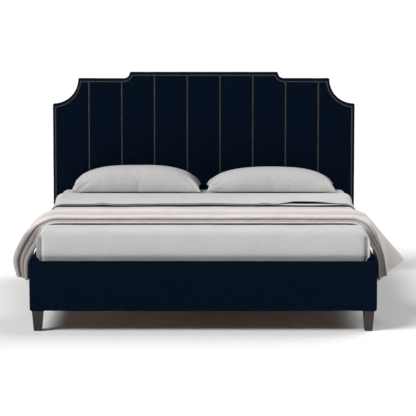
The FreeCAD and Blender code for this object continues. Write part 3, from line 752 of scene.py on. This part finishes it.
def top_sheet_surface(points, normals):
    """Shapes the top sheet: tucked inside the rails, with a folded slit at each end of its front."""
    points = points.copy()
    level = np.hypot(normals[:, 0], normals[:, 1]) + 1e-9
    squarer = (level / np.maximum(np.abs(normals[:, :2]).max(axis=1), 1e-9)) ** 0.9 - 1
    points[:, :2] += 0.034 * normals[:, :2] * squarer[:, None] * (normals[:, 1:2] < 0)
    x, z = points[:, 0].copy(), points[:, 2].copy()
    tuck = ease(RAIL_TOP + 0.034 - z, 0, 0.030)
    flank = np.abs(normals[:, 0])
    bulge = SIDE_BULGE * ease(DRESSED_TOP - 0.010 - z, 0, 0.06)
    bulge = bulge * ease(z, RAIL_TOP + 0.002, RAIL_TOP + 0.024)
    points[:, 0] += np.sign(x) * bulge * ease(np.abs(x), SLIT_X, SLIT_X + 0.006)
    front = normals[:, 1] < -0.01
    points[:, 1] += np.where(front, tuck * 0.0085, 0)
    swell = 0.004 * np.sin(math.pi * np.clip((z - 0.37) / 0.17, 0, 1)) * -normals[:, 1]
    points[:, 1] -= np.where(front, swell, 0)
    below_top = ease(DRESSED_TOP - 0.022 - z, 0, 0.03)
    for sign in (-1, 1):
        off = (x - sign * SLIT_X) / SLIT_WIDTH
        groove = np.exp(-(off**4)) + 0.22 * np.exp(-((off / 3.4) ** 2))
        points[:, 1] += np.where(front, SLIT_DEPTH * groove * below_top, 0)
    soft = 0.0016 * noise(points, 0.30, 61) + 0.0007 * noise(points * np.array([1, 1, 0.6]), 0.07, 62)
    soft *= 1 - 0.7 * flank * ease(0.42 - z, 0, 0.03)
    return points + normals * (soft * ease(z, 0.30, 0.42))[:, None]


def top_sheet():
    """The top sheet over four fifths of the mattress, tucked in at the foot and along both sides."""
    low = (-TOP_SHEET_HALF, TOP_SHEET_FOOT, 0.20)
    high = (TOP_SHEET_HALF, FOLD_HEAD + 0.02, DRESSED_TOP - 0.0003)
    ranges = ((-0.016, -0.006, 5), (-0.005, 0.005, 9), (0.006, 0.016, 5))
    near_slit = np.concatenate([np.linspace(*r) for r in ranges])
    extra = np.concatenate([SLIT_X + near_slit, -SLIT_X - near_slit])
    extra = extra[np.abs(extra) < TOP_SHEET_HALF - 0.0005]
    steps = (0.022, 0.022, 0.009)
    points, normals, faces = open_box(low, high, 0.034, steps, TUCKED_Z, extra, head_open=True)
    points = top_sheet_surface(points, normals)
    piece = add_mesh("top_sheet_cloth", points, faces, "white_cotton", "mattress")
    thicken(piece, 0.0007)
    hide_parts("top_sheet")


def over_side(s, half, top, radius):
    """Where one is after s metres across the bed from its middle: over the top, round the edge and down.
    Returns x and z, and the outward direction there in x and z."""
    past = np.abs(s) - (half - radius)
    turn = np.clip(past / radius, 0, math.pi / 2)
    x = np.minimum(np.abs(s), half - radius) + radius * np.sin(turn)
    z = top - radius * (1 - np.cos(turn)) - np.clip(past - radius * math.pi / 2, 0, None)
    return np.sign(s) * x, z, np.sign(s) * np.sin(turn), np.cos(turn)


def bump(s, centre, width):
    return np.exp(-(((s - centre) / width) ** 2))


def fold_edge(s, upper):
    """Where a turned-back layer's free edge lies along the bed: wavy, the upper one set back in places."""
    edge = FOLD_FOOT + 0.004 * np.sin(7 * s + 1) + 0.003 * np.sin(17 * s)
    if upper:
        edge = edge + 0.012 * bump(s, -0.60, 0.03) + 0.010 * bump(s, 0.37, 0.03)
        edge = edge + 0.075 * ease(s, 0.44, 0.56) * (1 - ease(s, 0.62, 0.84))
    return edge


def fold_lift(s, upper):
    """How far the free edge is lifted off the sheet below it."""
    lift = 0.0125 + 0.0015 * np.sin(5 * s + 2)
    lift = lift + 0.005 * bump(s, -0.60, 0.035) + 0.004 * bump(s, 0.37, 0.035)
    if upper:
        lift = lift + 0.0075 + 0.007 * ease(s, 0.42, 0.56) * (1 - ease(s, 0.66, 0.86))
    return lift * (1 - 0.6 * ease(np.abs(s), 0.84, 0.90))


def turned_back(name, upper, head, seed):
    """One layer of the top sheet's turned-back end, out to its free edge. The upper one starts in a roll."""
    half, top = TOP_SHEET_HALF, DRESSED_TOP + 0.0012
    side = np.linspace(0.80, 1.00, 44)[1:]
    s = np.concatenate([-side[::-1], np.linspace(-0.80, 0.80, 180), side])
    rows = []
    base = 0.0055 if upper else 0.0014
    if upper:
        for turn in np.radians(np.linspace(-90, 80, 9)):
            rise = (base + ROLL_HEIGHT) * 0.5 * (1 + math.sin(turn))
            rows.append((np.full_like(s, head + 0.0060 * math.cos(turn)), np.full_like(s, rise)))
    for t in np.linspace(0, 1, 46)[1:]:
        edge = fold_edge(s, upper)
        y = head + (edge - head) * t
        near = ease(y, edge + 0.16, edge + 0.02)
        droop = 0.0020 * np.clip((t - 0.965) / 0.035, 0, 1) ** 2
        bolster = (ROLL_HEIGHT if upper else 0.0) * bump(y, head, 0.06)
        rows.append((y, base + bolster + (fold_lift(s, upper) - base) * near - droop))
    y = np.stack([r[0] for r in rows])
    lift = np.stack([r[1] for r in rows])
    ss = np.broadcast_to(s, y.shape)
    x, z, nx, nz = over_side(ss, half, top, 0.036)
    flat = np.stack([x, y, z], axis=-1)
    soft = 0.0011 * noise(flat, 0.22, seed) + 0.0006 * noise(flat, 0.06, seed + 1)
    rise = lift + soft * ease(y, head, head - 0.05) * 0.8 + np.abs(soft) * 0.3
    points = np.stack([x + nx * rise, y, z + nz * rise], axis=-1)
    piece = add_mesh(name, points, grid_faces(*y.shape, flip=True), "white_cotton", "mattress")
    thicken(piece, 0.0022 if upper else 0.0016, 0)


def turned_back_sheet():
    turned_back("turned_back_lower", False, FOLD_HEAD - 0.12, 71)
    turned_back("turned_back_upper", True, FOLD_HEAD, 73)


# ---- throw
def curve(corners, count):
    """A smooth line through the corners, with evenly spaced points."""
    corners = np.array(corners, float)
    padded = np.concatenate([[2 * corners[0] - corners[1]], corners, [2 * corners[-1] - corners[-2]]])
    line = []
    for a, b, c, d in zip(padded[:-3], padded[1:-2], padded[2:-1], padded[3:]):
        t = np.linspace(0, 1, 24, endpoint=False)[:, None]
        square, cube = 2 * a - 5 * b + 4 * c - d, 3 * b - a - 3 * c + d
        line.append(0.5 * (2 * b + (c - a) * t + square * t**2 + cube * t**3))
    line = np.concatenate(line + [corners[-1:]])
    gone = np.concatenate([[0], np.cumsum(np.linalg.norm(np.diff(line, axis=0), axis=1))])
    even = np.linspace(0, gone[-1], count)
    return np.stack([np.interp(even, gone, line[:, i]) for i in range(line.shape[1])], axis=1)


HANG_START = 0.80
HANG_COLUMNS = 56
# x and z of points down each side of the hang, from where it leaves the flat top
BEND = [(HANG_START, 0.5600), (0.862, 0.5575), (0.906, 0.534)]
RIGHT_UNDERSIDE = BEND + [(0.927, 0.490), (0.936, 0.445), (0.968, 0.397), (0.984, 0.345), (0.987, 0.240)]
LEFT_UNDERSIDE = BEND + [(0.926, 0.490), (0.930, 0.445), (0.956, 0.402), (0.983, 0.345), (0.987, 0.240)]
LEFT_OUTSIDE = [(HANG_START, 0.5970), (0.872, 0.593), (0.940, 0.561), (0.990, 0.510), (1.027, 0.455),
                (1.052, 0.400), (1.064, 0.340), (1.046, 0.258)]
RIGHT_OUTSIDE = [(HANG_START, 0.5970), (0.872, 0.593), (0.930, 0.564), (0.966, 0.520), (0.988, 0.470),
                 (1.006, 0.420), (1.023, 0.350), (1.034, 0.270)]
FLARE_CREST = [(HANG_START, 0.5970), (0.880, 0.595), (0.940, 0.575), (0.988, 0.518), (1.030, 0.468),
               (1.072, 0.421), (1.110, 0.378), (1.140, 0.340)]
# y of the near folds of the lower, middle and top layers, and of the stack's far edge
NEAR_ROLL = -0.800
MIDDLE_ROLL = -0.768
TOP_ROLL = -0.776
THROW_FAR = -0.360
NEAR_LIFT = 0.0060


def throw_section():
    """The folded throw seen from its side, along the cloth from the bottom layer's far edge to the top's:
    y of each point, its height from 0 under the stack to 1 on top, and how far it is the top layer's."""
    section = []

    def run(start, end, low, high, count=22):
        for t in np.linspace(0, 1, count):
            section.append((start + (end - start) * t, low + (high - low) * t, 0.0))

    def roll(at, reach, low, high):
        for turn in np.radians(np.linspace(-75, 75, 9)):
            height = (low + high) / 2 + (high - low) / 2 * math.sin(turn)
            section.append((at + reach * math.cos(turn), height, 0.0))

    run(THROW_FAR, NEAR_ROLL + 0.010, 0.02, 0.02)
    roll(NEAR_ROLL + 0.008, -0.006, 0.02, 0.11)
    run(NEAR_ROLL + 0.012, THROW_FAR - 0.012, 0.11, 0.11)
    roll(THROW_FAR - 0.010, 0.004, 0.11, 0.14)
    run(THROW_FAR - 0.012, MIDDLE_ROLL + 0.012, 0.14, 0.13)
    roll(MIDDLE_ROLL + 0.010, -0.010, 0.13, 0.47)
    run(MIDDLE_ROLL + 0.014, THROW_FAR - 0.006, 0.47, 0.46)
    roll(THROW_FAR - 0.006, 0.006, 0.46, 0.55)
    for t in np.linspace(0, 1, 26):
        place = THROW_FAR - 0.008 + (TOP_ROLL + 0.022 - THROW_FAR) * t
        section.append((place, 0.55 + 0.05 * t - 0.03 * math.sin(math.pi * t) ** 2, 0.0))
    roll(TOP_ROLL + 0.014, -0.014, 0.60, 1.0)
    for t in np.linspace(0.02, 1, 34):
        place = TOP_ROLL + 0.014 + (THROW_FAR - 0.004 - TOP_ROLL - 0.014) * t
        ridge = 0.08 * math.exp(-(((t - 0.10) / 0.10) ** 2))
        valley = 0.30 * math.sin(math.pi * float(np.clip((t - 0.14) / 0.76, 0, 1))) ** 2
        height = 1.0 + ridge - valley - 0.30 * max(0.0, t - 0.93) / 0.07
        section.append((place, height, float(ease(np.array(t), 0.0, 0.30))))
    return np.array(section).T


def throw():
    """The throw: folded in layers across the bed, hanging over both rails, flared out on the right."""
    y, w, top = (a[:, None] for a in throw_section())
    x_mid = np.linspace(-HANG_START, HANG_START, 170)[1:-1]
    paths = (LEFT_UNDERSIDE, RIGHT_UNDERSIDE, LEFT_OUTSIDE, RIGHT_OUTSIDE)
    left_under, under, left, right = (curve(c, HANG_COLUMNS) for c in paths)
    flip = np.array([-1, 1])
    middle_low = np.stack([x_mid, np.full_like(x_mid, RIGHT_UNDERSIDE[0][1])], axis=1)
    middle_high = np.stack([x_mid, np.full_like(x_mid, RIGHT_OUTSIDE[0][1])], axis=1)
    low_line = np.concatenate([left_under[::-1] * flip, middle_low, under])
    high_line = np.concatenate([left[::-1] * flip, middle_high, right])
    going_down = np.linspace(0, 1, HANG_COLUMNS)
    down = np.concatenate([np.linspace(1, 0, HANG_COLUMNS), np.zeros(len(x_mid)), going_down])
    side = np.sign(low_line[:, 0])
    fanned = np.interp(w, [0.02, 0.11, 0.13, 0.47, 0.60, 1.0], [0.02, 0.30, 0.34, 0.68, 0.74, 1.0])
    w = w + (fanned - w) * ease(down, 0.12, 0.50) * (w <= 1)
    x = low_line[:, 0] * (1 - w) + high_line[:, 0] * w
    z = low_line[:, 1] * (1 - w) + high_line[:, 1] * w
    yy = np.broadcast_to(y, x.shape).copy()

    across = (yy - TOP_ROLL) / (THROW_FAR - TOP_ROLL)
    flare = ease(across, 0.0, 0.26) * (1 - 0.5 * ease(across, 0.36, 0.95)) * top * (side > 0)
    settled = ease(down, 0.10, 0.30)
    crest = curve(FLARE_CREST, HANG_COLUMNS)
    crest_line = np.concatenate([high_line[: -HANG_COLUMNS], crest])
    x += (crest_line[:, 0] - x) * flare * settled
    z += (crest_line[:, 1] - z) * flare * settled
    flutes = 0.0045 * np.sin(yy * 52 + 1.1 * side + 4 * w) * ease(down, 0.25, 1.0)
    x += side * flutes * (0.35 + w) * ease(w, 0.2, 0.6) * (1 - flare)
    narrowing = ease(down, 0.5, 1.0)
    yy += (yy - NEAR_ROLL) * -0.05 * narrowing + 0.004 * np.sin(down * 9 + side) * narrowing
    points = np.stack([x, yy, z], axis=-1)
    near = ease(yy, NEAR_ROLL + 0.16, NEAR_ROLL + 0.02)
    points[..., 2] += NEAR_LIFT * near * (1 - ease(down, 0.0, 0.25))
    soft = 0.0024 * noise(points * np.array([0.45, 1.6, 1]), 0.10, 81)
    soft = soft + 0.0007 * noise(points, 0.035, 82)
    ridge = 0.0022 * noise(np.stack([x, 0 * x, 0 * x], -1), 0.28, 83) * ease(w, 0.6, 0.9)
    points[..., 2] += (soft + ridge) * ease(w, 0.3, 0.9) * (1 - 0.6 * down)
    points[..., 0] += side * np.abs(soft) * down * ease(w, 0.3, 0.9)
    faces = grid_faces(*x.shape, flip=True)
    piece = add_mesh("throw_cloth", points, faces, "wool_throw", "throw")
    thicken(piece, 0.0030, 0)
    add_modifier(piece, "SUBSURF", levels=1, render_levels=1)
    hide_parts("throw_blanket")


# ---- pillows
PILLOW_SIZE = (0.86, 0.39)
PILLOW_SEAM = 0.592
PILLOW_BED = 0.5735
PILLOW_Y = 0.797
PILLOW_X = 0.4213
PILLOW_WIDTH = 0.80
SIMULATED = 0.2


def pillow_case(columns=96, rows=54):
    """The two faces of a pillow case lying flat, joined round their edge and slightly apart between."""
    u, v = np.linspace(-1, 1, columns), np.linspace(-1, 1, rows)
    uu, vv = np.meshgrid(u, v)
    x, y = PILLOW_SIZE[0] / 2 * uu, PILLOW_SIZE[1] / 2 * vv
    bulge = 0.006 * (1 - uu**4) * (1 - vv**4)
    upper = np.stack([x, y, bulge], axis=-1).reshape(-1, 3)
    inside = (np.abs(uu) < 1 - 1e-9) & (np.abs(vv) < 1 - 1e-9)
    number = np.arange(rows * columns).reshape(rows, columns)
    under = number.copy()
    under[inside] = rows * columns + np.arange(int(inside.sum()))
    lower = np.stack([x, y, -bulge], axis=-1)[inside]
    faces = np.concatenate([quads_between(number), quads_between(under)[:, ::-1]])
    return np.concatenate([upper, lower]), faces


def plump(points, fill):
    """The case filled evenly: a smooth cushion whose sides pull in between its corners."""
    u, v = points[:, 0] / (PILLOW_SIZE[0] / 2), points[:, 1] / (PILLOW_SIZE[1] / 2)
    full = np.clip((1 - np.abs(u) ** 3.2) * (1 - np.abs(v) ** 3.0), 0, 1) ** 0.55
    points = points.copy()
    points[:, 0] *= 1 - 0.035 * fill * (1 - v**2)
    points[:, 1] *= 1 - 0.07 * fill * (1 - u**2)
    points[:, 2] = np.sign(points[:, 2]) * 0.085 * fill * full
    return points


def inflate(piece, frames=16):
    """Lets cloth blow the case up under pressure from the inside, and returns the shape it reaches."""
    cloth = piece.modifiers.new("Fill", "CLOTH")
    settings = {
        "quality": 7, "mass": 0.15, "tension_stiffness": 20, "compression_stiffness": 20,
        "shear_stiffness": 8, "bending_stiffness": 0.35, "use_pressure": True, "uniform_pressure_force": 4.0,
    }
    for key, value in settings.items():
        setattr(cloth.settings, key, value)
    cloth.settings.effector_weights.gravity = 0
    cloth.collision_settings.use_collision = False
    cloth.point_cache.frame_start, cloth.point_cache.frame_end = 1, frames
    scene = bpy.context.scene
    for number in range(1, frames + 1):
        scene.frame_set(number)
        bpy.context.view_layer.update()
    shaped = piece.evaluated_get(bpy.context.evaluated_depsgraph_get())
    filled = np.array([v.co[:] for v in shaped.data.vertices])
    piece.modifiers.remove(cloth)
    scene.frame_set(1)
    return filled


def pulled_corners(points, seed):
    """Creases that run from the corners of a case into its faces, deepest beside the seam."""
    half = np.array(PILLOW_SIZE) / 2
    depth = np.zeros(len(points))
    for sx in (-1, 1):
        for sy in (-1, 1):
            away = points[:, :2] - half * (sx, sy)
            far = np.linalg.norm(away, axis=1)
            angle = np.arctan2(away[:, 1] * -sy, away[:, 0] * -sx)
            wobble = noise(np.stack([angle * 0.10, far, points[:, 2]], axis=1), 0.09, seed + 3 * sx + sy)
            creases = np.abs(np.sin(angle * 5.5 + 2.2 * wobble + seed)) ** 0.6 - 0.7
            depth += creases * np.exp(-((far - 0.045) / 0.060) ** 2)
    return depth


def pillow(side, name, node, top, seed):
    """One pillow: a domed top, a flat underside, and soft corners that the seam pulls into creases."""
    points, faces = pillow_case()
    start = plump(points, 0.75)
    start[:, 2] += 0.0012 * noise(start, 0.05, seed)
    piece = add_mesh(name, start, faces, "pillow_cotton", node)
    filled = plump(points, 1.0)
    filled = (1 - SIMULATED) * filled + SIMULATED * inflate(piece)
    filled[:, 2] += 0.0022 * noise(filled * np.array([0.6, 1, 1]), 0.16, seed + 1)
    depth = np.where(filled[:, 2] > 0, 0.026, -0.004) * (np.abs(filled[:, 2]) > 0.002)
    filled[:, 2] += depth * pulled_corners(points, seed)
    high = np.percentile(filled[:, 2], 99.8)
    low = -np.percentile(-filled[:, 2], 99.8)
    width = np.percentile(filled[:, 0], 99.9) - np.percentile(filled[:, 0], 0.1)
    reach = np.clip(np.abs(points[:, 0]) / (PILLOW_SIZE[0] / 2), 0, 1)
    front = np.clip(-points[:, 1] / (PILLOW_SIZE[1] / 2), 0, 1)
    seam = PILLOW_SEAM - 0.008 * reach**4 - 0.011 * front**2 * (1 - 0.4 * reach**6)
    z = np.where(filled[:, 2] > 0, filled[:, 2] / high * (top - PILLOW_SEAM),
                 -filled[:, 2] / low * (PILLOW_SEAM - PILLOW_BED) * 2.6) + seam
    z = np.maximum(z, PILLOW_BED + 0.0006 * (1 + noise(points, 0.04, seed)))
    x = filled[:, 0] * PILLOW_WIDTH / width + side * PILLOW_X
    shape = np.stack([x, filled[:, 1] + PILLOW_Y, z], axis=1)
    piece.data.vertices.foreach_set("co", shape.ravel())
    piece.data.update()
    add_modifier(piece, "SUBSURF", levels=1, render_levels=2)
    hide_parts(node)


def pillows():
    pillow(-1, "pillow_case_left", "pillow_left", 0.724, 91)
    pillow(1, "pillow_case_right", "pillow_right", 0.714, 95)


# ---- stage
SKY = 0.10
LAMPS = (
    ("key_softbox", (-1.0, -0.62, 1.15), 2.75, 32),
    ("rear_softbox", (0.85, 0.75, 1.10), 1.70, 46),
)


def studio():
    """A plain pale floor under an even white sky, with a large soft light at the front left and
    a weaker one at the rear right."""
    size = 60
    points = [(-size, -size, 0), (size, -size, 0), (size, size, 0), (-size, size, 0)]
    mesh = bpy.data.meshes.new("floor")
    mesh.from_pydata(points, [], [(0, 1, 2, 3)])
    f = Finish("floor", Specular_IOR_Level=0.1, Roughness=0.9)
    f.colour(f.mix(f.noise(0.5, 2), (0.955, 0.955, 0.955), (0.965, 0.965, 0.965)))
    mesh.materials.append(f.material)
    floor = bpy.data.objects.new("floor", mesh)
    bpy.context.scene.collection.objects.link(floor)

    world = bpy.data.worlds.new("sky")
    world.use_nodes = True
    background = world.node_tree.nodes["Background"].inputs
    background["Color"].default_value = (1, 1, 1, 1)
    background["Strength"].default_value = SKY
    bpy.context.scene.world = world
    for name, towards, strength, softness in LAMPS:
        lamp = bpy.data.lights.new(name, "SUN")
        lamp.energy = strength
        lamp.angle = math.radians(softness)
        holder = bpy.data.objects.new(name, lamp)
        holder.rotation_euler = Vector(towards).to_track_quat("Z", "Y").to_euler()
        bpy.context.scene.collection.objects.link(holder)
    bpy.context.scene.view_settings.view_transform = "Standard"


def camera():
    data = bpy.data.cameras.new("camera")
    data.sensor_width = 36
    data.lens = 200.17
    data.clip_end = 300
    eye = bpy.data.objects.new("camera", data)
    eye.location = (0.0268, -13.6787, 2.2595)
    eye.rotation_euler = (math.radians(90 - 7.109), 0, 0)
    bpy.context.scene.collection.objects.link(eye)
    bpy.context.scene.camera = eye


finish_cad_nodes()
headboard_panels()
edge_band()
lower_cloth()
back_lining()
back_staples()
padded_rails()
mattress()
mattress_piping()
fitted_sheet()
top_sheet()
turned_back_sheet()
throw()
pillows()
studio()
camera()
